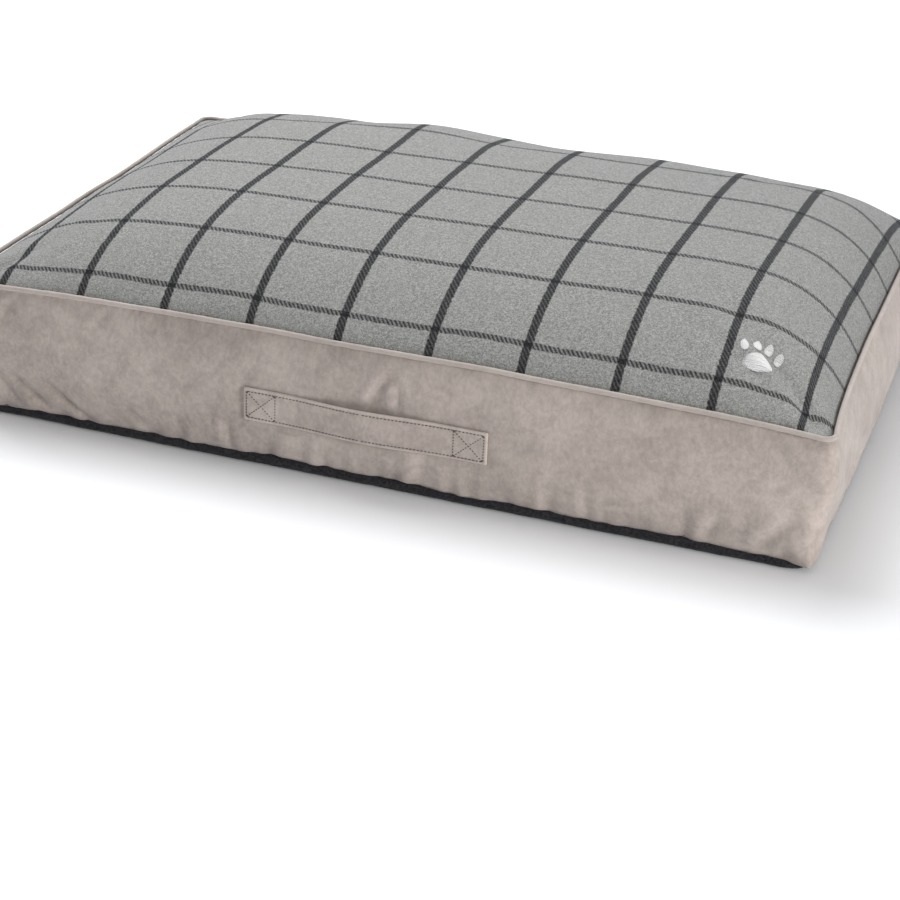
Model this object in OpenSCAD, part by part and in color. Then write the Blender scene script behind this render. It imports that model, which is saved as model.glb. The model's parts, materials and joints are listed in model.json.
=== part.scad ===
// Pet cushion bed: a boxed cover with a crowned woven top, a faux suede side
// band, a piped top seam, a fleece base, a grab handle on the front and a zip
// across the back, round a lined fibre pad. Long side along X, handle on -Y,
// zip on +Y, resting on Z = 0 with the origin under its middle.

/* [Cover] */
// Length of the side band's footprint, along X
bed_l = 914; // [760:1:1120]
// Width of the side band's footprint, along Y
bed_w = 610; // [500:1:760]
// Height of the side band, from the base seam to the piped seam
band_h = 136; // [110:1:180]
// Rise of the crowned top above the piped seam
crown_h = 74; // [45:1:100]
// Radius of the upright corners of the side band
corner_r = 14; // [12:0.5:24]
// Thickness of the faux suede band
band_t = 2.5; // [1.5:0.1:3]
// Thickness of the woven top
top_t = 2; // [1:0.1:3]
// Thickness of the fleece base
base_t = 2.5; // [1.5:0.1:3]
// Height of the rounded base edge below the base seam
base_rim_h = 12; // [8:0.5:14]

/* [Piping] */
// Outside diameter of the piping along the top seam
piping_d = 5.2; // [4.2:0.1:9]
// Thickness of the suede wrapped round the cord
piping_wrap_t = 0.9; // [0.6:0.1:1.4]
// Depth of the sewn allowance inside the cover
seam_allowance = 10; // [6:1:14]

/* [Motif] */
// Width of the stitched paw motif, across its toes
motif_w = 42; // [24:1:60]

/* [Handle] */
// Length of the strap, end to end
handle_l = 256; // [200:1:320]
// Width of the strap
handle_w = 35; // [25:1:45]
// Thickness of the folded strap
handle_t = 3.5; // [2:0.1:5]
// Length of each sewn-down end
handle_end_l = 38; // [28:1:46]
// How far the middle of the strap stands off the band
handle_bow = 9; // [8:0.5:18]
// Depth of the strap's centre line below the piped seam
handle_drop = 76; // [50:1:88]

/* [Zip] */
// Height of the zip above the floor
zip_z = 62; // [45:1:90]
// Width of the gap between the two rear strips, where the zip shows
zip_gap = 13; // [11:0.5:18]
// Width of each zip tape
zip_tape_w = 15; // [12:0.5:20]
// Thickness of the zip tape
zip_tape_t = 0.7; // [0.5:0.1:1]
// Width of the two coils together
zip_chain_w = 6; // [5:0.1:7.5]
// Thickness of the coils
zip_coil_t = 2.2; // [1.6:0.1:2.8]
// Length of the zip slider
slider_l = 15; // [12:0.5:20]
// Width of the zip slider
slider_w = 9.4; // [8.5:0.1:10.5]
// Length of the pull tab below its eye
pull_l = 26; // [18:0.5:34]

/* [Filling] */
// Thickness of the pad's cotton liner
liner_t = 1; // [0.8:0.1:1.5]
// Radius of the upright corners of the pad
pad_corner_r = 22; // [18:1:40]

/* [Hidden] */
$fn = 32;

// heights and faces of the cover
seam_z = base_rim_h + band_h;
face_x = bed_l / 2;
face_y = bed_w / 2;
flange_t = 0.8;              // two folded layers of piping suede in the top seam
top_inset = band_t + flange_t;
top_edge_r = corner_r - top_inset;
base_edge_r = min(base_rim_h, corner_r - 1);

// crown of the top: flat in the middle, steep at the seams
crown_p = 4;
crown_q = 0.69;
rings = 9;
side_steps_x = 12;
side_steps_y = 8;
corner_steps = 4;

// the pad inside the cover
fit_gap = 0.5;
dome_gap = 1.5;              // room between the top and the pad
plate_t = 1.2;               // slider plates
slide_gap = 0.4;             // room round the coils and tapes inside the slider
pad_l = bed_l - 2 * (top_inset + top_t + fit_gap);
pad_w = bed_w - 2 * (band_t + zip_tape_t + slide_gap + plate_t + fit_gap);
pad_z = base_t + 0.3;
pad_edge_r = 12;
liner_seam_z = seam_z - seam_allowance - 4;
pad_dome_z = seam_z - top_t - dome_gap;
filling_gap = 0.3;

// handle
handle_z = seam_z - handle_drop;
joint_gap = 0.3;
grip_half_l = handle_l / 2 - handle_end_l - joint_gap;
grip_steps = 32;
stitch_w = 0.9;
stitch_h = 0.4;
stitch_inset = 3.5;

// zip, measured from the band's rear face inwards
side_wrap = 26;              // the side band's reach round each rear corner
rear_half_l = face_x - corner_r - side_wrap;
tape_y = face_y - band_t;
web_gap = 1.8;
web_t = web_gap - 2 * slide_gap;
stop_l = 3;
stop_wall = 0.7;
stop_inset = 9;
slider_rest_x = rear_half_l - stop_inset - stop_l - slider_l / 2 - 1;
crown_pin_r = 0.9;
crown_pin_y = 2.6;           // pin's height above the slider's outer plate
pull_w = 7;
pull_t = 1.3;
pull_eye_r = 1.9;
pull_clearance = 0.06;
lug_t = 1.4;
lug_r = 1.6;
lug_gap = 0.4;               // between the pull tab's eye and each lug
pull_hole_r = 1.9;
slider_plate_y = tape_y + zip_coil_t + slide_gap;
pin_y = slider_plate_y + plate_t + crown_pin_y;

// care label in the rear base seam, a folded ribbon
label_l = 34;
label_h = 22;
label_t = 0.9;
label_drop = 6;              // below the base seam
label_x = -rear_half_l + 70;

// embroidered paw near the front right corner
motif_x = face_x - 88;
motif_y = 60 - face_y;
motif_t = 0.9;
motif_unit = motif_w / 28;
motif_lift = 0.25;

// ---- outlines and shells ----

// evenly turned points of one rounded corner, from angle a to a + 90
function corner(cx, cy, r, a) =
    [for (i = [0 : corner_steps]) let (t = a + 90 * i / corner_steps)
        [cx + r * cos(t), cy + r * sin(t)]];

// points between two corners, closer together near the ends
function between(a, b, n) =
    [for (i = [1 : n - 1]) let (t = (1 - cos(180 * i / n)) / 2) a + (b - a) * t];

// a rounded rectangle of length l, width w and corner radius r
function outline(l, w, r) =
    let (cx = l / 2 - r, cy = w / 2 - r)
    concat(corner(cx, cy, r, 0),
           between([cx, cy + r], [-cx, cy + r], side_steps_x),
           corner(-cx, cy, r, 90),
           between([-cx - r, cy], [-cx - r, -cy], side_steps_y),
           corner(-cx, -cy, r, 180),
           between([-cx, -cy - r], [cx, -cy - r], side_steps_x),
           corner(cx, -cy, r, 270),
           between([cx + r, -cy], [cx + r, cy], side_steps_y));

// share of the crown's rise at a share u of the half length or half width
function rise(u) = pow(max(0, 1 - pow(abs(u), crown_p)), crown_q);

// the crown's height over a rectangle l by w, at the point p
function crown(p, l, w, h) = h * rise(2 * p[0] / l) * rise(2 * p[1] / w);

// one ring of a dome: the outline drawn in to share f, lifted to the crown
function dome_ring(l, w, r, h, z, f) =
    [for (p = outline(l, w, r)) [p[0] * f, p[1] * f, z + (f == 1 ? 0 : crown(p * f, l, w, h))]];

// all of a dome's rings, from the middle out to the seam
function dome(l, w, r, h, z) =
    [for (j = [1 : rings]) dome_ring(l, w, r, h, z, sin(90 * j / rings))];

function level(l, w, r, z) = [for (p = outline(l, w, r)) [p[0], p[1], z]];

function reversed(list) = [for (i = [len(list) - 1 : -1 : 0]) list[i]];

// a closed skin over a stack of rings, fanned to a point at each end
module skin(stack, first, last) {
    n = len(stack[0]);
    m = len(stack);
    points = concat([first], [for (ring = stack) each ring], [last]);
    end = len(points) - 1;
    faces = concat(
        [for (i = [0 : n - 1]) [0, 1 + (i + 1) % n, 1 + i]],
        [for (j = [0 : m - 2], i = [0 : n - 1], half = [0, 1])
            let (a = 1 + j * n, b = a + n, k = (i + 1) % n)
            half == 0 ? [a + i, a + k, b + k] : [a + i, b + k, b + i]],
        [for (i = [0 : n - 1]) let (a = 1 + (m - 1) * n) [end, a + i, a + (i + 1) % n]]);
    polyhedron(points, faces, convexity = 4);
}

// a point on the bed's upright centre line
function middle(z) = [0, 0, z];

// carries a profile round the bed: its x runs outwards from the corner's centre
module around(l, w, r, rear_gap = 0) {
    cx = l / 2 - r;
    cy = w / 2 - r;
    for (k = [0 : 3])
        translate([(k == 0 || k == 3 ? 1 : -1) * cx, (k < 2 ? 1 : -1) * cy, 0])
            rotate(90 * k)
                rotate_extrude(angle = 90, $fn = 48) children();
    for (s = [0, 1])
        rotate(180 * s) translate([cx, cy, 0]) rotate([90, 0, 0])
            linear_extrude(2 * cy) children();
    translate([-cx, -cy, 0]) rotate(-90) rotate([90, 0, 0])
        translate([0, 0, -2 * cx]) linear_extrude(2 * cx) children();
    rear_run = rear_gap == 0 ? 2 * cx : cx - rear_gap;
    for (s = rear_gap == 0 ? [1] : [-1, 1])
        translate([s == 1 ? cx : rear_run - cx, cy, 0]) rotate(90) rotate([90, 0, 0])
            translate([0, 0, -rear_run]) linear_extrude(rear_run) children();
}

// a flat plate with rounded corners
module plate(l, w, r, z, t) {
    cx = l / 2 - r;
    cy = w / 2 - r;
    translate([0, 0, z]) linear_extrude(t) union() {
        square([2 * cx, w], center = true);
        square([l, 2 * cy], center = true);
        for (sx = [-1, 1], sy = [-1, 1])
            translate([sx * cx, sy * cy]) circle(r, $fn = 48);
    }
}

// a quarter of a disc between two radii, below and outside the point [x, z]
module quarter_arc(x, z, r_out, r_in) {
    translate([x, z]) difference() {
        intersection() {
            circle(r_out, $fn = 48);
            translate([0, -r_out]) square(r_out);
        }
        circle(r_in, $fn = 48);
    }
}

// ---- cover ----

module top_panel() {
    l = bed_l - 2 * top_inset;
    w = bed_w - 2 * top_inset;
    inner_l = l - 2 * top_t;
    inner_w = w - 2 * top_t;
    inner_r = top_edge_r - top_t;
    skirt_z = seam_z - seam_allowance;
    inner_z = seam_z - top_t;
    color("darkgray") skin(
        concat(dome(l, w, top_edge_r, crown_h, seam_z),
               [level(l, w, top_edge_r, skirt_z), level(inner_l, inner_w, inner_r, skirt_z)],
               reversed(dome(inner_l, inner_w, inner_r, crown_h, inner_z))),
        middle(seam_z + crown_h), middle(inner_z + crown_h));
}

// one raised satin-stitched pad of the motif, lying on the crown
module stitched_pad(x, y, rx, ry, turn) {
    l = bed_l - 2 * top_inset;
    w = bed_w - 2 * top_inset;
    n = 16;
    // the point at a share f of the pad's radius, in the direction a
    on_crown = function (f, a, lift)
        let (p = [x + f * (rx * cos(a) * cos(turn) - ry * sin(a) * sin(turn)),
                  y + f * (rx * cos(a) * sin(turn) + ry * sin(a) * cos(turn))])
        [p[0], p[1], seam_z + crown(p, l, w, crown_h) + motif_lift + lift];
    ring = function (f, lift) [for (i = [0 : n - 1]) on_crown(f, 360 * i / n, lift)];
    skin([ring(0.5, motif_t), ring(0.9, motif_t), ring(1, 0.45 * motif_t), ring(1, 0), ring(0.5, 0)],
         on_crown(0, 0, motif_t), on_crown(0, 0, 0));
}

module embroidered_motif() {
    color("whitesmoke") {
        u = motif_unit;
        stitched_pad(motif_x, motif_y - 3 * u, 8.5 * u, 6.5 * u, 0);
        for (k = [-1.5 : 1 : 1.5])
            stitched_pad(motif_x + 7.4 * u * k, motif_y + (11 - 2.2 * k * k) * u, 2.9 * u, 4.1 * u, -12 * k);
    }
}

module piping_profile() {
    translate([corner_r - band_t - flange_t / 2 + piping_d / 2, seam_z + piping_d / 2]) children();
}

module piping_cover() {
    color("antiquewhite") around(bed_l, bed_w, corner_r) difference() {
        union() {
            piping_profile() circle(piping_d / 2);
            translate([corner_r - top_inset, seam_z - seam_allowance])
                square([flange_t, seam_allowance + piping_d / 2]);
        }
        piping_profile() circle(piping_d / 2 - piping_wrap_t);
    }
}

module piping_cord() {
    color("ivory") around(bed_l, bed_w, corner_r)
        piping_profile() circle(piping_d / 2 - piping_wrap_t);
}

module side_band() {
    color("rosybrown") around(bed_l, bed_w, corner_r, rear_gap = rear_half_l)
        translate([corner_r - band_t, base_rim_h]) square([band_t, band_h]);
}

// one strip of the rear band, between two heights
module rear_strip(z0, z1) {
    translate([-rear_half_l, face_y - band_t, z0]) cube([2 * rear_half_l, band_t, z1 - z0]);
}

module rear_band_upper() {
    color("rosybrown") rear_strip(zip_z + zip_gap / 2, seam_z);
}

module rear_band_lower() {
    color("rosybrown") rear_strip(base_rim_h, zip_z - zip_gap / 2);
}

module base_panel() {
    flat_r = corner_r - base_edge_r;
    color("dimgray") union() {
        around(bed_l, bed_w, corner_r) union() {
            quarter_arc(flat_r, base_edge_r, base_edge_r, base_edge_r - base_t);
            if (base_rim_h > base_edge_r)
                translate([corner_r - base_t, base_edge_r])
                    square([base_t, base_rim_h - base_edge_r]);
            translate([corner_r - band_t - base_t, base_rim_h - base_t - band_t])
                square([base_t, base_t + band_t + seam_allowance]);
        }
        plate(bed_l - 2 * base_edge_r, bed_w - 2 * base_edge_r, flat_r, 0, base_t);
    }
}

module care_label() {
    color("white") translate([label_x, face_y, base_rim_h - label_drop])
        cube([label_l, label_t, label_h]);
}

// ---- pad ----

module liner_top() {
    inner_l = pad_l - 2 * liner_t;
    inner_w = pad_w - 2 * liner_t;
    inner_r = pad_corner_r - liner_t;
    inner_z = pad_dome_z - liner_t;
    color("linen") skin(
        concat(dome(pad_l, pad_w, pad_corner_r, crown_h, pad_dome_z),
               [level(pad_l, pad_w, pad_corner_r, liner_seam_z),
                level(inner_l, inner_w, inner_r, liner_seam_z)],
               reversed(dome(inner_l, inner_w, inner_r, crown_h, inner_z))),
        middle(pad_dome_z + crown_h), middle(inner_z + crown_h));
}

module liner_bottom() {
    flat_r = pad_corner_r - pad_edge_r;
    color("linen") union() {
        around(pad_l, pad_w, pad_corner_r) union() {
            quarter_arc(flat_r, pad_z + pad_edge_r, pad_edge_r, pad_edge_r - liner_t);
            translate([pad_corner_r - liner_t, pad_z + pad_edge_r])
                square([liner_t, liner_seam_z - pad_z - pad_edge_r]);
        }
        plate(pad_l - 2 * pad_edge_r, pad_w - 2 * pad_edge_r, flat_r, pad_z, liner_t);
    }
}

module fibre_filling() {
    inset = liner_t + filling_gap;
    l = pad_l - 2 * inset;
    w = pad_w - 2 * inset;
    r = pad_corner_r - inset;
    top_z = pad_dome_z - liner_t - dome_gap;
    z = pad_z + liner_t + filling_gap;
    edge = pad_edge_r;
    color("white") skin(
        concat(dome(l, w, r, crown_h, top_z),
               [level(l, w, r, z + edge),
                level(l - 0.6 * edge, w - 0.6 * edge, r - 0.3 * edge, z + 0.35 * edge),
                level(l - 2 * edge, w - 2 * edge, r - edge, z)]),
        middle(top_z + crown_h), middle(z));
}

// ---- handle ----

// how far the strap's inner face stands off the band, at x from the middle
function bow(x) = joint_gap + handle_bow * (1 + cos(180 * x / grip_half_l)) / 2;

module handle_grip() {
    xs = [for (i = [-grip_steps : grip_steps]) grip_half_l * i / grip_steps];
    color("rosybrown") translate([0, -face_y, handle_z - handle_w / 2])
        linear_extrude(handle_w)
            polygon(concat([for (x = xs) [x, -bow(x)]],
                           [for (x = reversed(xs)) [x, -bow(x) - handle_t + joint_gap]]));
}

module handle_end(side) {
    inner = handle_l / 2 - handle_end_l;
    color("rosybrown")
        translate([side > 0 ? inner : -handle_l / 2, -face_y - handle_t, handle_z - handle_w / 2])
            cube([handle_end_l, handle_t, handle_w]);
}

// a sewn box with a cross, standing on the strap's outer face
module box_stitch(side) {
    w = handle_end_l - 2 * stitch_inset;
    h = handle_w - 2 * stitch_inset;
    diagonal = sqrt(w * w + h * h) - stitch_w;
    color("gainsboro")
        translate([side * (handle_l - handle_end_l) / 2, -face_y - handle_t - stitch_h / 2, handle_z])
            union() {
                for (s = [-1, 1]) {
                    translate([s * (w - stitch_w) / 2, 0, 0])
                        cube([stitch_w, stitch_h, h], center = true);
                    translate([0, 0, s * (h - stitch_w) / 2])
                        cube([w, stitch_h, stitch_w], center = true);
                    rotate([0, s * atan2(h, w), 0])
                        cube([diagonal, stitch_h, stitch_w], center = true);
                }
            }
}

module handle_edge_stitching() {
    xs = [for (i = [1 - grip_steps : grip_steps - 1]) grip_half_l * i / grip_steps];
    outer = function (x) -bow(x) - handle_t + joint_gap;
    color("gainsboro") for (s = [-1, 1])
        translate([0, -face_y, handle_z + s * (handle_w / 2 - stitch_inset) - stitch_w / 2])
            linear_extrude(stitch_w)
                polygon(concat([for (x = xs) [x, outer(x)]],
                               [for (x = reversed(xs)) [x, outer(x) - stitch_h]]));
}

// ---- zip ----

// a bar along the zip, from one height to another and from one face to another
module zip_run(z0, z1, y0, t) {
    translate([-rear_half_l, y0, z0]) cube([2 * rear_half_l, t, z1 - z0]);
}

module zip_tape(side) {
    edge = web_gap / 2;
    color("gray") zip_run(zip_z + (side > 0 ? edge : -zip_tape_w), zip_z + (side > 0 ? zip_tape_w : -edge),
                          tape_y - zip_tape_t, zip_tape_t);
}

module zip_coil(side) {
    edge = web_gap / 2;
    far = zip_chain_w / 2;
    color("gray") zip_run(zip_z + (side > 0 ? edge : -far), zip_z + (side > 0 ? far : -edge),
                          tape_y, zip_coil_t);
}

// a metal clip folded over both coils, near one end of the zip
module zip_stop(side) {
    x = side * (rear_half_l - stop_inset - stop_l / 2);
    color("silver") difference() {
        translate([x, tape_y + (zip_coil_t + stop_wall) / 2, zip_z])
            cube([stop_l, zip_coil_t + stop_wall, zip_chain_w + 2 * stop_wall], center = true);
        translate([x, tape_y + zip_coil_t / 2, zip_z])
            cube([stop_l + 1, zip_coil_t, zip_chain_w], center = true);
    }
}

module zip_topstitch(side) {
    z = zip_z + side * (zip_gap / 2 + 4);
    color("gainsboro") zip_run(z - stitch_w / 2, z + stitch_w / 2, face_y, stitch_h);
}

module zip_slider() {
    back_y = tape_y - zip_tape_t - slide_gap - plate_t;
    front_y = slider_plate_y;
    pin_l = pull_w + 2 * lug_gap + lug_t;
    color("silver") translate([slider_rest_x, 0, zip_z]) union() {
        // outer and inner plates, nosed at one end
        for (y = [back_y, front_y])
            translate([0, y, 0]) rotate([-90, 0, 0]) linear_extrude(plate_t) union() {
                translate([slider_w / 4, 0]) square([slider_l - slider_w / 2, slider_w], center = true);
                translate([slider_w / 2 - slider_l / 2, 0]) circle(slider_w / 2);
            }
        // web between the plates, in the gap between the coils
        translate([-slider_l / 4, back_y, -web_t / 2])
            cube([slider_l / 2, front_y - back_y + plate_t, web_t]);
        // two lugs and the pin that the tab hangs from
        for (s = [-1, 1])
            translate([s * (pull_w / 2 + lug_gap + lug_t / 2) - lug_t / 2, 0, 0]) union() {
                translate([0, front_y + plate_t, -lug_r]) cube([lug_t, crown_pin_y, 2 * lug_r]);
                translate([0, pin_y, 0]) rotate([0, 90, 0]) cylinder(h = lug_t, r = lug_r);
            }
        translate([-pin_l / 2, pin_y, 0]) rotate([0, 90, 0]) cylinder(h = pin_l, r = crown_pin_r);
    }
}

module zip_pull_tab() {
    color("silver") translate([slider_rest_x, pin_y, zip_z]) difference() {
        union() {
            translate([-pull_w / 2, 0, 0]) rotate([0, 90, 0]) cylinder(h = pull_w, r = pull_eye_r);
            translate([-pull_w / 2, -pull_t / 2, -pull_l + pull_w / 2])
                cube([pull_w, pull_t, pull_l - pull_w / 2]);
            translate([0, pull_t / 2, -pull_l + pull_w / 2]) rotate([90, 0, 0])
                cylinder(h = pull_t, r = pull_w / 2);
        }
        translate([-pull_w / 2 - 1, 0, 0]) rotate([0, 90, 0])
            cylinder(h = pull_w + 2, r = crown_pin_r + pull_clearance);
        translate([0, pull_t, -pull_l + pull_w / 2]) rotate([90, 0, 0])
            cylinder(h = 2 * pull_t, r = pull_hole_r);
    }
}

top_panel();
embroidered_motif();
piping_cover();
piping_cord();
side_band();
rear_band_upper();
rear_band_lower();
base_panel();
liner_top();
liner_bottom();
fibre_filling();
handle_grip();
handle_end(-1);  // handle_end_left
handle_end(1);  // handle_end_right
handle_edge_stitching();
box_stitch(-1);  // handle_box_stitch_left
box_stitch(1);  // handle_box_stitch_right
zip_tape(1);  // zip_tape_upper
zip_tape(-1);  // zip_tape_lower
zip_coil(1);  // zip_coil_upper
zip_coil(-1);  // zip_coil_lower
zip_stop(-1);  // zip_stop_left
zip_stop(1);  // zip_stop_right
zip_topstitch(1);  // zip_topstitch_upper
zip_topstitch(-1);  // zip_topstitch_lower
zip_slider();
zip_pull_tab();
care_label();
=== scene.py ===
"""Pet cushion bed: woven top, suede band, piping, strap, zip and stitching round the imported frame."""
import json
import math
import bpy
import numpy as np
from mathutils import Matrix, Vector
from mathutils.bvhtree import BVHTree


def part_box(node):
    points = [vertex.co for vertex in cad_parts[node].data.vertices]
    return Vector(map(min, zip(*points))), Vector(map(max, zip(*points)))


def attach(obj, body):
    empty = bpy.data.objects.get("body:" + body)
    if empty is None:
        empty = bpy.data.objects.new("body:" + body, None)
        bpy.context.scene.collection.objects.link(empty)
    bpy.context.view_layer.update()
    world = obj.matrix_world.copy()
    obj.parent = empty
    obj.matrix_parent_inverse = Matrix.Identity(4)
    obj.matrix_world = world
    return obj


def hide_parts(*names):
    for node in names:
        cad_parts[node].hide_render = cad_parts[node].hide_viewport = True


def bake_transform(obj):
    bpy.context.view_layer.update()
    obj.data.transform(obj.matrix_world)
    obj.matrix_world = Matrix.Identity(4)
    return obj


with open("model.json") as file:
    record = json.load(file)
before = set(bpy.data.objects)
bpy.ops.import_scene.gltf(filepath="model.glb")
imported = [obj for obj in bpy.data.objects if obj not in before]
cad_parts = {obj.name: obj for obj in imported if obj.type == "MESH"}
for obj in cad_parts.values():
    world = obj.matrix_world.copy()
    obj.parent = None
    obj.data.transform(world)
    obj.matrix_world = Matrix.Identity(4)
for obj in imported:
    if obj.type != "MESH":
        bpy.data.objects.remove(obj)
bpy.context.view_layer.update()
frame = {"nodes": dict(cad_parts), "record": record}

MM = 0.001
TAU = 2 * math.pi

# ---- sizes read from the frame ----

band_low, band_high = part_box("side_band")
FACE_X, FACE_Y = band_high.x, band_high.y
BASE_Z, SEAM_Z = band_low.z, band_high.z
CROWN_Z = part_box("top_panel")[1].z
PIPING_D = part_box("piping_cover")[1].z - SEAM_Z
PIPING_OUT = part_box("piping_cover")[1].x - FACE_X
ZIP_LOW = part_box("rear_band_lower")[1].z
ZIP_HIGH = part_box("rear_band_upper")[0].z
REAR_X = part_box("rear_band_upper")[1].x
TOP_X, TOP_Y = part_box("top_panel")[1].x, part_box("top_panel")[1].y
CORNER_R = 14 * MM               # of the band's upright corners
GRIP_LOW, GRIP_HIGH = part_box("handle_grip")
STRAP_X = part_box("handle_end_right")[1].x
STRAP_INNER_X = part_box("handle_end_right")[0].x
STRAP_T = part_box("handle_end_right")[1].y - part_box("handle_end_right")[0].y
STRAP_Z = (GRIP_LOW.z + GRIP_HIGH.z) / 2
STRAP_W = GRIP_HIGH.z - GRIP_LOW.z
STRAP_BOW = -FACE_Y - GRIP_LOW.y - STRAP_T    # finger gap behind the strap's middle

# ---- sizes of the sewing ----

SEAM_PULL = 8.5 * MM             # how far the top seam pulls in between the corners
BASE_SEAM_PULL = 6.0 * MM        # the same for the base seam
CROWN_SHARE = 0.985              # of the CAD crown's height, which leaves room for the lumps
CLOTH_T = 1.6 * MM               # woven top
SUEDE_T = 2.0 * MM
FLEECE_T = 1.8 * MM
LABEL_T = 0.45 * MM
STITCH_INSET = 3.5 * MM          # from the strap's edges to its rows of stitches
BOX_L = 31 * MM                  # length of the sewn box at each end of the strap
THREAD_R = 0.6 * MM
SATIN_R = 0.3 * MM               # thread of the motif
SATIN_PITCH = 0.46 * MM
COIL_PITCH = 1.9 * MM
COIL_R = 0.32 * MM


# ---- smooth noise that is the same each run ----

def waves(seed, shortest, longest, count=14):
    """A smooth random function of points in space, from -1 to 1 or so, built from sine waves."""
    rng = np.random.default_rng(seed)
    lengths = np.exp(rng.uniform(math.log(shortest), math.log(longest), count))
    ways = rng.normal(size=(count, 3))
    ways /= np.linalg.norm(ways, axis=1)[:, None]
    phases = rng.uniform(0, TAU, count)
    size = lengths ** 0.5

    def value(points):
        turns = TAU * (np.asarray(points) @ ways.T) / lengths + phases
        return (np.sin(turns) * size).sum(1) / (size.sum() * 0.45)
    return value


def smooth(x, low, high):
    t = np.clip((np.asarray(x, float) - low) / (high - low), 0, 1)
    return t * t * (3 - 2 * t)


def bump(x, middle, width):
    return np.exp(-((np.asarray(x, float) - middle) / width) ** 2)


# ---- meshes ----

def make(name, points, faces, smooth_faces=True):
    mesh = bpy.data.meshes.new(name)
    mesh.from_pydata([tuple(p) for p in np.asarray(points, float)], [], [tuple(f) for f in faces])
    mesh.validate()
    mesh.polygons.foreach_set("use_smooth", [smooth_faces] * len(mesh.polygons))
    obj = bpy.data.objects.new(name, mesh)
    bpy.context.scene.collection.objects.link(obj)
    return obj


def coordinates(obj):
    co = np.zeros(len(obj.data.vertices) * 3)
    obj.data.vertices.foreach_get("co", co)
    return co.reshape(-1, 3)


def set_coordinates(obj, co):
    obj.data.vertices.foreach_set("co", np.asarray(co, float).ravel())
    obj.data.update()


def store(obj, name, values):
    """Keeps one vector a vertex with the mesh, for the materials."""
    values = np.asarray(values, float)
    attribute = obj.data.attributes.new(name, "FLOAT_VECTOR", "POINT")
    attribute.data.foreach_set("vector", values.ravel())


def grid_faces(rows, columns, closed=False, skip=None):
    faces = []
    for j in range(rows - 1):
        for i in range(columns if closed else columns - 1):
            if skip is None or not skip(j, i):
                k = (i + 1) % columns
                faces.append((j * columns + i, j * columns + k,
                              (j + 1) * columns + k, (j + 1) * columns + i))
    return faces


def apply_modifiers(obj):
    graph = bpy.context.evaluated_depsgraph_get()
    mesh = bpy.data.meshes.new_from_object(obj.evaluated_get(graph), depsgraph=graph)
    obj.modifiers.clear()
    old = obj.data
    obj.data = mesh
    bpy.data.meshes.remove(old)


def thicken(obj, thickness):
    """Gives a sheet its real thickness, inwards from the face that shows."""
    solid = obj.modifiers.new("thickness", "SOLIDIFY")
    solid.thickness = thickness
    solid.offset = -1
    solid.use_even_offset = False
    apply_modifiers(obj)


def settle(obj, flat, hold, pressure, frames, stiffness=25, bending=0.5, cap=0.03):
    """Inflates a sheet cut to the flat points, with each vertex held by its weight in hold."""
    start = coordinates(obj)
    obj.shape_key_add(name="Basis")
    cut = obj.shape_key_add(name="cut")
    cut.data.foreach_set("co", np.asarray(flat, float).ravel())
    cut.value = 0
    group = obj.vertex_groups.new(name="held")
    for i, weight in enumerate(hold):
        if weight > 0.001:
            group.add([i], float(weight), "REPLACE")
    cloth = obj.modifiers.new("Cloth", "CLOTH")
    settings = {"rest_shape_key": cut, "vertex_group_mass": "held", "pin_stiffness": 1, "quality": 6,
                "mass": 0.15, "tension_stiffness": stiffness, "compression_stiffness": stiffness,
                "shear_stiffness": stiffness * 0.4, "bending_stiffness": bending,
                "tension_damping": 12, "compression_damping": 12, "shear_damping": 12,
                "bending_damping": 1, "air_damping": 2, "use_pressure": True,
                "uniform_pressure_force": pressure}
    for key, value in settings.items():
        setattr(cloth.settings, key, value)
    cloth.settings.effector_weights.gravity = 0
    cloth.collision_settings.use_collision = False
    cloth.point_cache.frame_start = 1
    cloth.point_cache.frame_end = frames
    for f in range(1, frames + 1):
        bpy.context.scene.frame_set(f)
    graph = bpy.context.evaluated_depsgraph_get()
    done = np.zeros(len(start) * 3)
    obj.evaluated_get(graph).data.vertices.foreach_get("co", done)
    move = done.reshape(-1, 3) - start
    length = np.linalg.norm(move, axis=1)[:, None]
    obj.modifiers.clear()
    obj.vertex_groups.clear()
    obj.shape_key_clear()
    bpy.context.scene.frame_set(1)
    set_coordinates(obj, start + move * np.minimum(1, cap / np.maximum(length, 1e-9)))


# ---- the seams ----

seam_wave = waves(3, 0.09, 0.35)
side_wave = waves(5, 0.12, 0.4)
base_wave = waves(29, 0.05, 0.16)
scallop_wave = waves(31, 0.05, 0.09)


def corner_share(p, sharp=5):
    """1 at the bed's corners, falling to 0 along its sides."""
    return np.abs(p[:, 0] / FACE_X) ** sharp * np.abs(p[:, 1] / FACE_Y) ** sharp


def laid_flat(p):
    return np.column_stack([p[:, 0], p[:, 1], np.zeros(len(p))])


def seam_lift(p):
    """How far the top seam rises or droops from its CAD height, at points on it."""
    return -1.0 * MM - 5.5 * MM * corner_share(p) + 0.8 * MM * seam_wave(laid_flat(p))


def pull_in(p):
    """How far the top seam pulls in between the corners."""
    return SEAM_PULL * (1 - corner_share(p)) * (1 + 0.18 * side_wave(laid_flat(p)))


def base_seam(p):
    """Height of the base seam: scalloped, and drawn down to a point at the corners."""
    flat = laid_flat(p)
    scallop = 2.1 * MM * base_wave(flat) + 1.5 * MM * np.abs(scallop_wave(flat))
    return BASE_Z + scallop - 8.5 * MM * corner_share(p, 8)


def base_pull(p):
    """How far the base seam pulls in between the corners."""
    return BASE_SEAM_PULL * (1 - corner_share(p, 12)) * (1 + 0.15 * side_wave(laid_flat(p) + 1))


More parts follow.
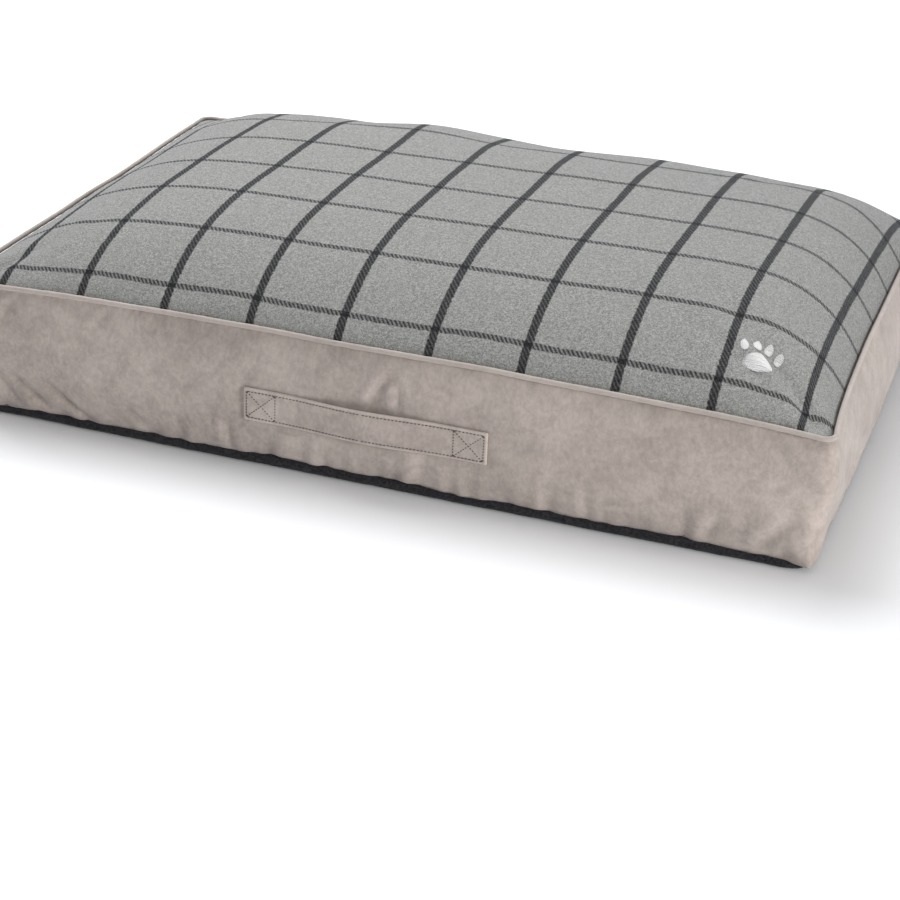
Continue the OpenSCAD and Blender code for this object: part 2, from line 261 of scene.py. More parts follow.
def loop(half_x, half_y, r, step=5 * MM):
    """Points once round a rounded rectangle, with their outward directions and distances along it."""
    cx, cy = half_x - r, half_y - r
    arc = max(4, round(r * math.pi / 2 / step * 1.6))
    points, ways = [], []
    corners = [(cx, -cy), (cx, cy), (-cx, cy), (-cx, -cy)]
    for k, (ax, ay) in enumerate(corners):
        bx, by = corners[(k + 1) % 4]
        out = np.array([math.cos(k * math.pi / 2), math.sin(k * math.pi / 2)])
        n = round(math.hypot(bx - ax, by - ay) / step)
        for i in range(n):
            points.append(np.array([ax + (bx - ax) * i / n, ay + (by - ay) * i / n]) + out * r)
            ways.append(out)
        for i in range(arc):
            a = (k + i / arc) * math.pi / 2
            way = np.array([math.cos(a), math.sin(a)])
            points.append(np.array([bx, by]) + way * r)
            ways.append(way)
    points, ways = np.array(points), np.array(ways)
    steps = np.linalg.norm(np.roll(points, -1, 0) - points, axis=1)
    return points, ways, np.concatenate([[0], np.cumsum(steps)[:-1]])


# ---- materials ----

class Nodes:
    """A short way to write a material's nodes."""

    def __init__(self, name):
        self.material = bpy.data.materials.new(name)
        self.material.use_nodes = True
        self.tree = self.material.node_tree
        self.tree.nodes.clear()
        self.out = self.tree.nodes.new("ShaderNodeOutputMaterial")
        self.shader = self.tree.nodes.new("ShaderNodeBsdfPrincipled")
        self.tree.links.new(self.shader.outputs[0], self.out.inputs[0])

    def put(self, socket, value):
        if isinstance(value, bpy.types.NodeSocket):
            self.tree.links.new(value, socket)
        else:
            socket.default_value = value

    def node(self, kind, *inputs, output=0, **settings):
        n = self.tree.nodes.new("ShaderNode" + kind)
        for key, value in settings.items():
            setattr(n, key, value)
        for i, value in enumerate(inputs):
            if value is not None:
                self.put(n.inputs[i], value)
        return n.outputs[output]

    def math(self, operation, a, b=0.0, c=0.0, clamp=False):
        return self.node("Math", a, b, c, operation=operation, use_clamp=clamp)

    def add(self, a, b, clamp=False):
        return self.math("ADD", a, b, clamp=clamp)

    def less(self, a, b):
        return self.math("SUBTRACT", a, b)

    def times(self, a, b):
        return self.math("MULTIPLY", a, b)

    def attribute(self, name):
        return self.node("Attribute", attribute_name=name, output=1)

    def place(self):
        return self.node("TexCoord", output=3)

    def stretch(self, vector, scale):
        return self.node("Mapping", vector, None, None, scale)

    def noise(self, vector, scale, detail=4.0, roughness=0.55, distortion=0.0):
        n = self.tree.nodes.new("ShaderNodeTexNoise")
        for key, value in (("Vector", vector), ("Scale", scale), ("Detail", detail),
                           ("Roughness", roughness), ("Distortion", distortion)):
            self.put(n.inputs[key], value)
        return n.outputs[0]

    def cells(self, vector, scale):
        """A random number for each small cell of the surface."""
        n = self.tree.nodes.new("ShaderNodeTexVoronoi")
        self.put(n.inputs["Vector"], vector)
        n.inputs["Scale"].default_value = scale
        return self.node("SeparateXYZ", n.outputs["Color"])

    def ramp(self, value, low, high, a=0.0, b=1.0):
        n = self.tree.nodes.new("ShaderNodeMapRange")
        n.interpolation_type = "SMOOTHSTEP"
        for i, v in enumerate((value, low, high, a, b)):
            self.put(n.inputs[i], v)
        return n.outputs[0]

    def mix(self, share, a, b):
        n = self.tree.nodes.new("ShaderNodeMix")
        n.data_type = "RGBA"
        self.put(n.inputs[0], share)
        self.put(n.inputs[6], a if isinstance(a, bpy.types.NodeSocket) else (*a, 1))
        self.put(n.inputs[7], b if isinstance(b, bpy.types.NodeSocket) else (*b, 1))
        return n.outputs[2]

    def bump(self, height, distance, strength=1.0, normal=None):
        n = self.tree.nodes.new("ShaderNodeBump")
        n.inputs["Strength"].default_value = strength
        n.inputs["Distance"].default_value = distance
        self.put(n.inputs["Height"], height)
        if normal is not None:
            self.put(n.inputs["Normal"], normal)
        return n.outputs[0]

    def finish(self, color, roughness, normal=None, sheen=0.0, sheen_tint=(1, 1, 1), metallic=0.0,
               specular=0.3):
        s = self.shader.inputs
        self.put(s["Base Color"], color if isinstance(color, bpy.types.NodeSocket) else (*color, 1))
        self.put(s["Roughness"], roughness)
        s["Metallic"].default_value = metallic
        s["Specular IOR Level"].default_value = specular
        s["Sheen Weight"].default_value = sheen
        s["Sheen Roughness"].default_value = 0.5
        s["Sheen Tint"].default_value = (*sheen_tint, 1)
        if normal is not None:
            self.put(s["Normal"], normal)
        return self.material


CHECK_X = 94.05 * MM       # repeat of the check along the bed
CHECK_Y = 90.0 * MM        # repeat from front to back
FIRST_LINE = -412.0 * MM   # the front-to-back line nearest the left end, from the middle
FIRST_ROW = 32.0 * MM      # first lengthwise line, from the front seam along the cloth
TWILL = 3.6 * MM           # pitch of the diagonal hatch


def woven_top():
    """Grey wool twill with a dark check: solid lines front to back, lighter hatched ones across."""
    n = Nodes("woven_top")
    cloth = n.attribute("cloth")
    split = n.tree.nodes.new("ShaderNodeSeparateXYZ")
    n.put(split.inputs[0], cloth)
    u, v = split.outputs[0], split.outputs[1]
    wobble = n.noise(cloth, 300, 2)
    edge = n.times(n.less(wobble, 0.5), 0.004)
    diagonal = n.add(n.times(u, 0.8), n.times(v, 0.6))
    twill = n.math("SINE", n.times(n.add(diagonal, n.times(edge, 0.25)), TAU / TWILL))

    def line(coordinate, first, repeat, width):
        turn = n.math("DIVIDE", n.less(coordinate, first), repeat)
        off = n.times(n.math("ABSOLUTE", n.less(n.math("FRACT", n.add(turn, 0.5)), 0.5)), repeat)
        return n.ramp(n.add(off, edge), width / 2 + 0.8 * MM, width / 2 - 0.8 * MM)
    thick = line(u, FIRST_LINE, CHECK_X, 9.0 * MM)
    thin = line(v, FIRST_ROW, CHECK_Y, 6.8 * MM)
    hairy = n.less(n.noise(cloth, 600, 3, 0.7), 0.5)
    ragged = n.add(twill, n.times(hairy, 4.0))
    dark = n.times(thick, n.ramp(ragged, -1.4, 0.4, 0.72, 0.96))
    dark_thin = n.times(thin, n.ramp(ragged, -1.1, 0.9, 0.36, 0.92))
    crossing = n.times(thick, thin)
    ink = n.math("MAXIMUM", n.math("MAXIMUM", dark, dark_thin), crossing, clamp=True)
    # flecks of light and dark fibre, drawn out along the two yarn directions
    warp = n.cells(n.stretch(cloth, (1, 0.6, 1)), 1350)
    weft = n.cells(n.stretch(cloth, (0.6, 1, 1)), 1150)
    pair = n.add(n.times(warp, 0.5), n.times(weft, 0.5))
    soft = n.noise(cloth, 1200, 3, 0.7)
    fleck = n.add(n.times(pair, 0.6), n.times(soft, 0.4))
    cloud = n.noise(cloth, 22, 4, 0.6)
    fluff = n.noise(cloth, 260, 4, 0.7)
    tone = n.ramp(fleck, 0.24, 0.76)
    grey = n.mix(tone, GREY_LOW, GREY_HIGH)
    grey = n.mix(n.ramp(cloud, 0.3, 0.7, 0.0, 0.20), grey, GREY_MID)
    grey = n.mix(n.ramp(fluff, 0.4, 0.7, 0.0, 0.35), grey, tuple(0.78 * c for c in GREY_MID))
    black = n.mix(tone, (0.004, 0.004, 0.005), (0.030, 0.030, 0.032))
    color = n.mix(ink, grey, black)
    relief = n.add(n.times(twill, 0.12), fleck)
    normal = n.bump(relief, 0.35 * MM, 0.6)
    normal = n.bump(fluff, 0.7 * MM, 0.4, normal)
    return n.finish(color, 0.93, normal, sheen=0.07, sheen_tint=(0.86, 0.9, 1.0), specular=0.10)


def suede(name, low, high, nap=1.0):
    """Brushed faux suede: a blotchy nap over a fine short pile."""
    n = Nodes(name)
    place = n.attribute("cloth")
    blotch = n.noise(place, 42, 6, 0.66, 0.6)
    brushed = n.noise(n.stretch(place, (1.25, 0.8, 1)), 180, 6, 0.74, 0.5)
    wide = n.noise(place, 9, 3, 0.5)
    fine = n.noise(place, 2600, 2, 0.6)
    tone = n.add(n.times(n.ramp(blotch, 0.32, 0.68), 0.34 * nap),
                 n.times(n.ramp(brushed, 0.32, 0.70), 0.34 * nap))
    tone = n.add(tone, n.times(n.ramp(wide, 0.35, 0.65), 0.26), clamp=True)
    color = n.mix(tone, low, high)
    # painted highlight: the suede is lighter along the strap's folded edges and ends, where the folds catch
    # the light
    color = n.mix(n.times(n.attribute("edge"), 0.4), color, tuple(min(1, 1.35 * c) for c in high))
    color = n.mix(n.ramp(fine, 0.3, 0.7, 0.0, 0.22), color, tuple(c * 0.72 for c in low))
    normal = n.bump(fine, 0.12 * MM, 0.7)
    normal = n.bump(brushed, 0.5 * MM, 0.35, normal)
    return n.finish(color, n.ramp(blotch, 0.2, 0.8, 0.95, 0.82), normal, sheen=0.35,
                    sheen_tint=(0.95, 0.92, 0.9), specular=0.2)


def fleece():
    """Short charcoal pile, matted into small tufts."""
    n = Nodes("fleece")
    place = n.place()
    tuft = n.noise(place, 420, 5, 0.7)
    matt = n.noise(place, 90, 3, 0.6)
    color = n.mix(n.ramp(tuft, 0.3, 0.72), (0.006, 0.006, 0.007), (0.050, 0.050, 0.054))
    color = n.mix(n.ramp(matt, 0.35, 0.7, 0.0, 0.4), color, (0.022, 0.022, 0.025))
    normal = n.bump(tuft, 2.0 * MM, 1.0)
    return n.finish(color, 0.97, normal, sheen=0.15, sheen_tint=(0.6, 0.6, 0.62), specular=0.08)


def plain_weave(name, low, high, pitch, tone_scale=60.0):
    """A flat woven cloth of the given yarn pitch."""
    n = Nodes(name)
    split = n.tree.nodes.new("ShaderNodeSeparateXYZ")
    n.put(split.inputs[0], n.place())
    x, y, z = split.outputs[0], split.outputs[1], split.outputs[2]
    one = n.math("SINE", n.times(n.add(x, y), TAU / pitch))
    two = n.math("SINE", n.times(z, TAU / pitch))
    weave = n.times(one, two)
    drift = n.noise(n.place(), tone_scale, 3)
    color = n.mix(n.ramp(weave, -1, 1), low, high)
    color = n.mix(n.ramp(drift, 0.3, 0.7, 0, 0.25), color, tuple(0.8 * c for c in low))
    return n.finish(color, 0.9, n.bump(weave, 0.15 * MM, 0.6), sheen=0.1, specular=0.2)


def thread(name, low, high):
    """Twisted sewing thread: the twist runs along the stored length of each stitch."""
    n = Nodes(name)
    split = n.tree.nodes.new("ShaderNodeSeparateXYZ")
    n.put(split.inputs[0], n.attribute("cloth"))
    turn = n.add(n.times(split.outputs[0], TAU / (0.8 * MM)), split.outputs[1])
    twist = n.math("SINE", turn)
    hair = n.noise(n.place(), 3000, 2)
    color = n.mix(n.ramp(twist, -1, 0.6), low, high)
    color = n.mix(n.ramp(hair, 0.4, 0.8, 0, 0.3), color, low)
    return n.finish(color, 0.55, n.bump(twist, 0.1 * MM, 0.7), sheen=0.2, specular=0.4)


def metal():
    """Satin nickel, faintly worn and brushed."""
    n = Nodes("zip_metal")
    place = n.place()
    brushed = n.noise(n.stretch(place, (60, 900, 900)), 1.0, 4, 0.6)
    worn = n.noise(place, 420, 3)
    color = n.mix(n.ramp(worn, 0.35, 0.7), (0.42, 0.42, 0.43), (0.62, 0.61, 0.59))
    rough = n.ramp(brushed, 0.3, 0.7, 0.28, 0.46)
    return n.finish(color, rough, n.bump(brushed, 0.03 * MM, 0.4), metallic=1.0, specular=0.5)


def nylon():
    """Dark moulded nylon of the zip's coil."""
    n = Nodes("zip_coil")
    drift = n.noise(n.place(), 700, 3)
    color = n.mix(n.ramp(drift, 0.3, 0.7), (0.13, 0.115, 0.105), (0.20, 0.18, 0.165))
    return n.finish(color, n.ramp(drift, 0.3, 0.7, 0.35, 0.5), n.bump(drift, 0.03 * MM, 0.3), specular=0.45)


def fibre():
    """Loose white polyester fibre."""
    n = Nodes("fibre")
    strand = n.noise(n.stretch(n.place(), (1, 0.3, 1)), 300, 6, 0.7, 1.5)
    color = n.mix(n.ramp(strand, 0.3, 0.7), (0.70, 0.70, 0.69), (0.90, 0.90, 0.89))
    return n.finish(color, 0.95, n.bump(strand, 2 * MM, 0.8), sheen=0.3, specular=0.2)


GREY_LOW, GREY_MID, GREY_HIGH = (0.152, 0.151, 0.141), (0.264, 0.262, 0.248), (0.390, 0.388, 0.368)
SUEDE_LOW, SUEDE_HIGH = (0.290, 0.245, 0.219), (0.560, 0.485, 0.437)
MATERIALS = {
    "woven_top": woven_top(),
    "suede": suede("suede", SUEDE_LOW, SUEDE_HIGH),
    "piping_suede": suede("piping_suede", (0.365, 0.315, 0.284), (0.545, 0.476, 0.431), 0.8),
    "fleece": fleece(),
    "cotton_cord": plain_weave("cotton_cord", (0.55, 0.52, 0.45), (0.72, 0.69, 0.62), 1.2 * MM),
    "liner_cotton": plain_weave("liner_cotton", (0.66, 0.65, 0.62), (0.80, 0.79, 0.76), 0.7 * MM),
    "fibre": fibre(),
    # painted shade: the stitching thread is coloured far darker than the suede it matches, to stand for the
    # shade along the sewn stitch lines
    "thread": thread("thread", (0.050, 0.042, 0.038), (0.115, 0.098, 0.089)),
    "motif_thread": thread("motif_thread", (0.62, 0.62, 0.60), (0.86, 0.86, 0.84)),
    "zip_tape": plain_weave("zip_tape", (0.16, 0.14, 0.128), (0.25, 0.225, 0.205), 0.9 * MM),
    "zip_coil": nylon(),
    "zip_metal": metal(),
    "label": plain_weave("label", (0.72, 0.72, 0.70), (0.84, 0.84, 0.82), 0.45 * MM, 30.0),
}


def dress(obj, slot, body=None, stands_for=()):
    """Gives a piece its material, slot and body, and hides the CAD nodes it stands for."""
    obj.data.materials.clear()
    obj.data.materials.append(MATERIALS[slot])
    if body:
        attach(obj, body)
    if stands_for:
        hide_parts(*stands_for)
    return obj


# ---- the woven top ----

def top_outline(square):
    """Takes points of the square from -1 to 1 to the rounded rectangle of the top seam."""
    hx, hy, r = TOP_X - 0.5 * MM, TOP_Y - 0.5 * MM, 11 * MM
    p = square * [hx, hy]
    over = np.maximum(np.abs(p) - [hx - r, hy - r], 0) / r
    both = (over > 0).all(1)
    size = np.linalg.norm(over, axis=1)
    size[size == 0] = 1
    rounded = over * (over.max(1) / size)[:, None]
    over[both] = rounded[both]
    inner = np.minimum(np.abs(p), [hx - r, hy - r])
    return np.sign(p) * (inner + over * r)


def crown_rise(square):
    """The crown's height over the seam as a share, 0 at the seam and 1 at the middle."""
    across, deep = np.abs(square[:, 0]), np.abs(square[:, 1])
    fullness = np.where(square[:, 0] > 0, 10.5, 6.0)
    return (1 - across ** fullness) ** 1.07 * (1 - deep ** 3.6) ** 0.75


def even_steps(half, height, count, axis):
    """Places from -1 to 1 that are evenly spaced along the crown's own curve, and half its length."""
    fine = np.sin(np.linspace(-math.pi / 2, math.pi / 2, 6001))
    square = np.zeros((len(fine), 2))
    square[:, axis] = fine
    run = np.hypot(np.diff(fine) * half, np.diff(crown_rise(square)) * height)
    run = np.concatenate([[0], np.cumsum(run)])
    return np.interp(np.linspace(0, run[-1], count), run, fine), run[-1] / 2


def blur(grid, cells):
    """A smooth version of values on a grid of rows and columns."""
    reach = int(3 * cells)
    kernel = np.exp(-0.5 * (np.arange(-reach, reach + 1) / cells) ** 2)
    kernel /= kernel.sum()
    for axis in (0, 1):
        pad_by = [(reach, reach) if a == axis else (0, 0) for a in range(grid.ndim)]
        padded = np.pad(grid, pad_by, mode="reflect")
        grid = sum(w * np.take(padded, np.arange(k, k + grid.shape[axis]), axis=axis)
                   for k, w in enumerate(kernel))
    return grid


gather_wave = waves(61, 0.045, 0.11, 12)
lump_wave = waves(67, 0.09, 0.2, 12)


def crown_folds(plan):
    """Soft lumps of the filling, gathers that run in from the seams and a fold at each corner."""
    x, y = plan[:, 0], plan[:, 1]
    to_x, to_y = TOP_X - np.abs(x), TOP_Y - np.abs(y)
    side_line = np.column_stack([0.12 * x + 3 * np.sign(x), y, 0 * x])
    long_line = np.column_stack([x, 0.12 * y + 3 * np.sign(y), 0 * x])
    at_ends = np.exp(-to_x / (50 * MM)) * smooth(to_x, 0, 16 * MM)
    at_sides = np.exp(-to_y / (55 * MM)) * smooth(to_y, 0, 12 * MM)
    rise = np.where(x > 0, 2.4, 1.2) * MM * gather_wave(side_line) * at_ends
    rise += np.where(y > 0, 2.6, 1.4) * MM * gather_wave(long_line) * at_sides
    # the filling's fullest place, a little behind the middle
    rise += 6.0 * MM * bump(x, -95 * MM, 80 * MM) * bump(y, 190 * MM, 70 * MM)
    inside = smooth(np.minimum(to_x, to_y), 0, 60 * MM)
    lumps = inside * (0.4 + 0.6 * smooth(y, 0, 200 * MM))
    rise += 1.6 * MM * lump_wave(laid_flat(plan)) * lumps
    along = (to_x + to_y) / math.sqrt(2)
    off = (to_x - to_y) / math.sqrt(2)
    fold = smooth(along, 6 * MM, 30 * MM) * np.exp(-along / (55 * MM))
    rise -= 9.0 * MM * fold * bump(off, 4 * MM, 9 * MM)
    rise += 5.0 * MM * fold * (bump(off, 22 * MM, 10 * MM) + bump(off, -16 * MM, 10 * MM))
    return rise


def woven_panel():
    height = CROWN_Z - SEAM_Z
    step = 4.5 * MM
    columns, rows = round(2.08 * TOP_X / step), round(2.16 * TOP_Y / step)
    s, cut_x = even_steps(TOP_X, height, columns, 0)
    t, cut_y = even_steps(TOP_Y, height, rows, 1)
    tt, ss = np.meshgrid(t, s, indexing="ij")
    square = np.column_stack([ss.ravel(), tt.ravel()])
    plan = top_outline(square)
    edge = (np.abs(square) > 1 - 1e-9).any(1)
    share = np.abs(square) ** 3
    inward = np.sign(square) * share * pull_in(plan)[:, None]
    rise = crown_rise(square)
    lean = 1 + 0.09 * square[:, 0] + 0.01 * square[:, 1]
    z = SEAM_Z + 1.5 * MM + rise * lean * height * CROWN_SHARE + seam_lift(plan) * (1 - rise)
    points = np.column_stack([plan - inward, z])
    u = np.repeat(np.linspace(-cut_x, cut_x, columns)[None, :], rows, axis=0).ravel()
    v = np.repeat(np.linspace(0, 2 * cut_y, rows)[:, None], columns, axis=1).ravel()
    obj = make("top_cover", points, grid_faces(rows, columns))
    flat = np.column_stack([u, v - cut_y, np.full(len(u), SEAM_Z)])
    settle(obj, flat, edge.astype(float), 5.0, 26, stiffness=30, bending=1.0, cap=0.03)
    # the simulated wrinkles stay; the crown's broad shape is the one above
    move = (coordinates(obj) - points).reshape(rows, columns, 3)
    detail = (move - blur(move, 11)).reshape(-1, 3)
    inside = np.minimum(TOP_X - np.abs(plan[:, 0]), TOP_Y - np.abs(plan[:, 1]))
    keep = smooth(inside, 0, 30 * MM) * (0.15 + 0.85 * np.exp(-inside / (50 * MM)))
    done = points + detail * keep[:, None]
    done[:, 2] += crown_folds(plan) * ~edge
    set_coordinates(obj, done)
    # the cloth is cut a little off its grain
    store(obj, "cloth", np.column_stack([u - 0.02 * (v - 0.2), v, np.zeros(len(u))]))
    return obj


top = woven_panel()
thicken(top, CLOTH_T)
dress(top, "woven_top", "bed", ["top_panel"])


# ---- side band, rear strips and base ----

pucker_wave = waves(11, 0.016, 0.034, 10)
fold_wave = waves(17, 0.03, 0.09)
soft_wave = waves(23, 0.05, 0.16)


def in_front(p, ways, z):
    """1 behind the sewn ends of the strap, less behind its middle, 0 elsewhere."""
    facing = ways[:, 1] < -0.99
    level = 1 - smooth(np.abs(z - STRAP_Z), STRAP_W / 2, STRAP_W / 2 + 12 * MM)
    reach = 1 - smooth(np.abs(p[:, 0]), STRAP_X, STRAP_X + 16 * MM)
    ends = smooth(np.abs(p[:, 0]), STRAP_INNER_X - 20 * MM, STRAP_INNER_X)
    return facing * level * reach * (0.45 + 0.55 * ends)


def at_zip(p, ways, z):
    facing = (ways[:, 1] > 0.99) & (np.abs(p[:, 0]) < REAR_X + 8 * MM)
    middle, half = (ZIP_LOW + ZIP_HIGH) / 2, (ZIP_HIGH - ZIP_LOW) / 2
    return facing * (1 - smooth(np.abs(z - middle), half + 6 * MM, half + 22 * MM))


FOLD_STRENGTH = 1.7
# place along the bed and height in mm, angle in degrees, then length, width and depth in mm
FRONT_FOLDS = ((14, 112, 62, 44, 5, 3.2), (34, 106, 94, 30, 4, 2.6), (-148, 34, 98, 34, 4, 2.6),
               (-166, 52, 112, 34, 4, 1.6), (-330, 34, 141, 70, 4.5, 3.4), (-372, 38, 136, 80, 5, 3.6),
               (-410, 60, 128, 90, 6, 3.0), (-250, 30, 132, 36, 4, 1.8), (-395, 128, 60, 40, 5, 2.2),
               (-290, 132, 55, 30, 5, 1.5), (60, 34, 84, 30, 5, 1.4), (230, 30, 100, 34, 5, 1.3),
               (352, 34, 70, 40, 6, 2.2), (410, 40, 52, 60, 7, 3.0))


def crease(x, z, place, height, angle, length, width, depth):
    """A straight fold in the band: a valley with a soft ridge beside it, fading out at both ends."""
    turn = math.radians(angle)
    along = (x - place) * math.cos(turn) + (z - height) * math.sin(turn)
    off = -(x - place) * math.sin(turn) + (z - height) * math.cos(turn)
    fade = np.exp(-(along / (0.5 * length)) ** 4)
    return depth * fade * (0.6 * bump(off, 1.6 * width, 1.5 * width) - bump(off, 0, width))


def band_folds(x, z, ways):
    """The band's own folds, on its front face: over the strap's middle, and low at the left."""
    front = ways[:, 1] < -0.99
    total = 0
    for place, height, angle, length, width, depth in FRONT_FOLDS:
        total = total + crease(x, z, place * MM, height * MM, angle, length * MM, width * MM, depth * MM)
    return FOLD_STRENGTH * front * total


def band():
    """The whole side band as one simulated ring, cut afterwards into the front length and the rear strips."""
    points, ways, along = loop(FACE_X, FACE_Y, CORNER_R, 4.2 * MM)
    heights = np.concatenate([np.linspace(BASE_Z, ZIP_LOW, 13)[:-1], np.linspace(ZIP_LOW, ZIP_HIGH, 4)[:-1],
                              np.linspace(ZIP_HIGH, SEAM_Z, 21)])
    share = (heights - BASE_Z) / (SEAM_Z - BASE_Z)
    columns, rows = len(points), len(heights)
    seam_top, seam_low = SEAM_Z + seam_lift(points), base_seam(points)
    pull_top, pull_low = pull_in(points), base_pull(points)
    ear = corner_share(points, 12)
    co, flat, hold, cloth, calm = [], [], [], [], []
    for z, h in zip(heights, share):
        out = -(pull_low * (1 - h) + pull_top * h) + 9.0 * MM * (4 * h * (1 - h)) ** 0.6
        out = out - 2.6 * MM * bump(h, 1, 0.035) - 1.5 * MM * bump(h, 0, 0.03)
        out = out - corner_share(points) * (4.0 * MM * bump(h, 0.35, 0.3) + 9.0 * MM * (1 - h) ** 2)
        out = out + ear * 4.0 * MM * bump(h, 0.0, 0.12)
        front, zipped = in_front(points, ways, z), at_zip(points, ways, z)
        out = out * (1 - np.maximum(front, zipped)) - 0.3 * MM * front
        rise = seam_low * (1 - h) + seam_top * h
        rise = rise * (1 - zipped) + z * zipped
        ring = np.column_stack([points + ways * out[:, None], rise])
        ring[:, :2] += ways * (0.8 * MM * soft_wave(ring) * min(1, 12 * h * (1 - h)) * (1 - zipped))[:, None]
        co.append(ring)
        flat.append(np.column_stack([points * 1.016, np.full(columns, BASE_Z + (z - BASE_Z) * 1.05)]))
        edge = 1.0 if h in (0.0, 1.0) else 0.0
        hold.append(np.maximum(np.maximum(front, zipped), edge))
        calm.append(1 - np.maximum(front, zipped))
        cloth.append(np.column_stack([along, np.full(columns, z), np.zeros(columns)]))
    start = np.vstack(co)
    ring = make("band", start, grid_faces(rows, columns, closed=True))
    settle(ring, np.vstack(flat), np.concatenate(hold), 2.5, 22, stiffness=22, bending=0.8, cap=0.012)
    # puckers along both seams and folds that run down from the corners
    co = start + 1.4 * (coordinates(ring) - start)
    way = np.tile(ways, (rows, 1))
    normal = np.column_stack([way, np.zeros(rows * columns)])
    s, up = np.tile(along, rows), np.repeat(heights, columns)
    line = np.column_stack([s, 0.22 * up, up * 0])
    low, high = up - BASE_Z, SEAM_Z - up
    strength = 4.8 - 1.8 * smooth(np.tile(points[:, 0], rows), -100 * MM, 200 * MM)
    d = strength * MM * pucker_wave(line) * np.exp(-low / (20 * MM)) * smooth(low, -5 * MM, 7 * MM)
    d += 0.7 * MM * pucker_wave(line + 5) * np.exp(-high / (12 * MM)) * smooth(high, 0, 6 * MM)
    slant = np.column_stack([s + 0.9 * up, 0.15 * up, up * 0])
    near = np.tile(corner_share(points), rows)
    middle = np.sin(np.pi * np.clip(low / (SEAM_Z - BASE_Z), 0, 1)) ** 0.6
    d += 1.7 * MM * fold_wave(slant) * (0.35 + smooth(near, 0.02, 0.5)) * middle
    off_seams = smooth(low, -3 * MM, 8 * MM) * smooth(high, 0, 8 * MM)
    d += band_folds(np.tile(points[:, 0], rows), up, way) * off_seams
    co += normal * (d * np.concatenate(calm))[:, None]
    set_coordinates(ring, co)
    store(ring, "cloth", np.vstack(cloth))
    return ring, points, ways, heights


def cut(ring, name, rows, columns, keep):
    """A new sheet of the ring's cells that keep(row, column) chooses."""
    co = coordinates(ring)
    cloth = np.zeros(len(co) * 3)
    ring.data.attributes["cloth"].data.foreach_get("vector", cloth)
    faces = grid_faces(rows, columns, closed=True, skip=lambda j, i: not keep(j, i))
    used = sorted({v for f in faces for v in f})
    number = {v: k for k, v in enumerate(used)}
    piece = make(name, co[used], [[number[v] for v in f] for f in faces])
    store(piece, "cloth", cloth.reshape(-1, 3)[used])
    return piece


def covers():
    ring, points, ways, heights = band()
    rows, columns = len(heights), len(points)
    rear = (ways[:, 1] > 0.99) & (np.abs(points[:, 0]) < REAR_X)
    behind = [bool(rear[i] and rear[(i + 1) % columns]) for i in range(columns)]
    low_row = int(np.argmin(np.abs(heights - ZIP_LOW)))
    high_row = int(np.argmin(np.abs(heights - ZIP_HIGH)))
    side = cut(ring, "side_cover", rows, columns, lambda j, i: not behind[i])
    upper = cut(ring, "rear_cover_upper", rows, columns, lambda j, i: behind[i] and j >= high_row)
    lower = cut(ring, "rear_cover_lower", rows, columns, lambda j, i: behind[i] and j < low_row)
    bpy.data.objects.remove(ring)
    for piece, node in ((side, "side_band"), (upper, "rear_band_upper"), (lower, "rear_band_lower")):
        thicken(piece, SUEDE_T)
        dress(piece, "suede", "bed", [node])
    return upper, lower


def base():
    """The fleece base: a soft rounded edge under the base seam, flat where it rests."""
    points, ways, _ = loop(FACE_X, FACE_Y, 36 * MM, 5 * MM)
    seam = base_seam(points)
    inward = base_pull(points)
    co = []
    for k in range(-2, 9):
        a = math.pi / 2 * max(k, 0) / 8
        inset = 1.6 * MM * bump(k, 0, 1.4) + 10 * MM * (1 - math.cos(a))
        out = -inward + 2.0 * MM * math.sin(2 * a) - corner_share(points) * 6.0 * MM - inset
        z = seam * (1 - math.sin(a)) + (2.2 * MM if k < 0 else 0) * (-k / 2)
        if k < 0:
            out = out - 3 * MM
        ring = np.column_stack([points + ways * out[:, None], np.maximum(z, 0)])
        ring[:, 2] = np.maximum(ring[:, 2] + 0.5 * MM * pucker_wave(ring) * math.cos(a), 0)
        co.append(ring)
    edge = co[-1]
    shares = (0.97, 0.9, 0.8, 0.65, 0.5, 0.35, 0.2, 0.08)
    for f in shares:
        ring = edge * [f, f, 0]
        ring[:, 2] = 0.25 * MM * (1 + soft_wave(ring)) * (1 - f) ** 0.5
        co.append(np.maximum(ring, [-9, -9, 0]))
    columns, rows = len(points), len(co)
    faces = grid_faces(rows, columns, closed=True)
    faces.append([(rows - 1) * columns + i for i in range(columns)])
    obj = make("base_cover", np.vstack(co), [f[::-1] for f in faces])
    thicken(obj, FLEECE_T)
    dress(obj, "fleece", "bed", ["base_panel"])


# ---- piping ----

def sweep(name, centres, ways, ups, section, closed=True):
    """A tube: section(i) gives (outward, upward) offsets round the ring at each centre."""
    rings = [c + np.outer(s[:, 0], w) + np.outer(s[:, 1], u)
             for c, w, u, s in ((centres[i], ways[i], ups[i], section(i)) for i in range(len(centres)))]
    n, sides = len(rings), len(rings[0])
    points = np.vstack(rings)
    faces = []
    for i in range(n if closed else n - 1):
        k = (i + 1) % n
        for j in range(sides):
            m = (j + 1) % sides
            faces.append((i * sides + j, k * sides + j, k * sides + m, i * sides + m))
    if not closed:
        faces.append(list(range(sides)))
        faces.append([(n - 1) * sides + j for j in range(sides)][::-1])
    return make(name, points, faces)


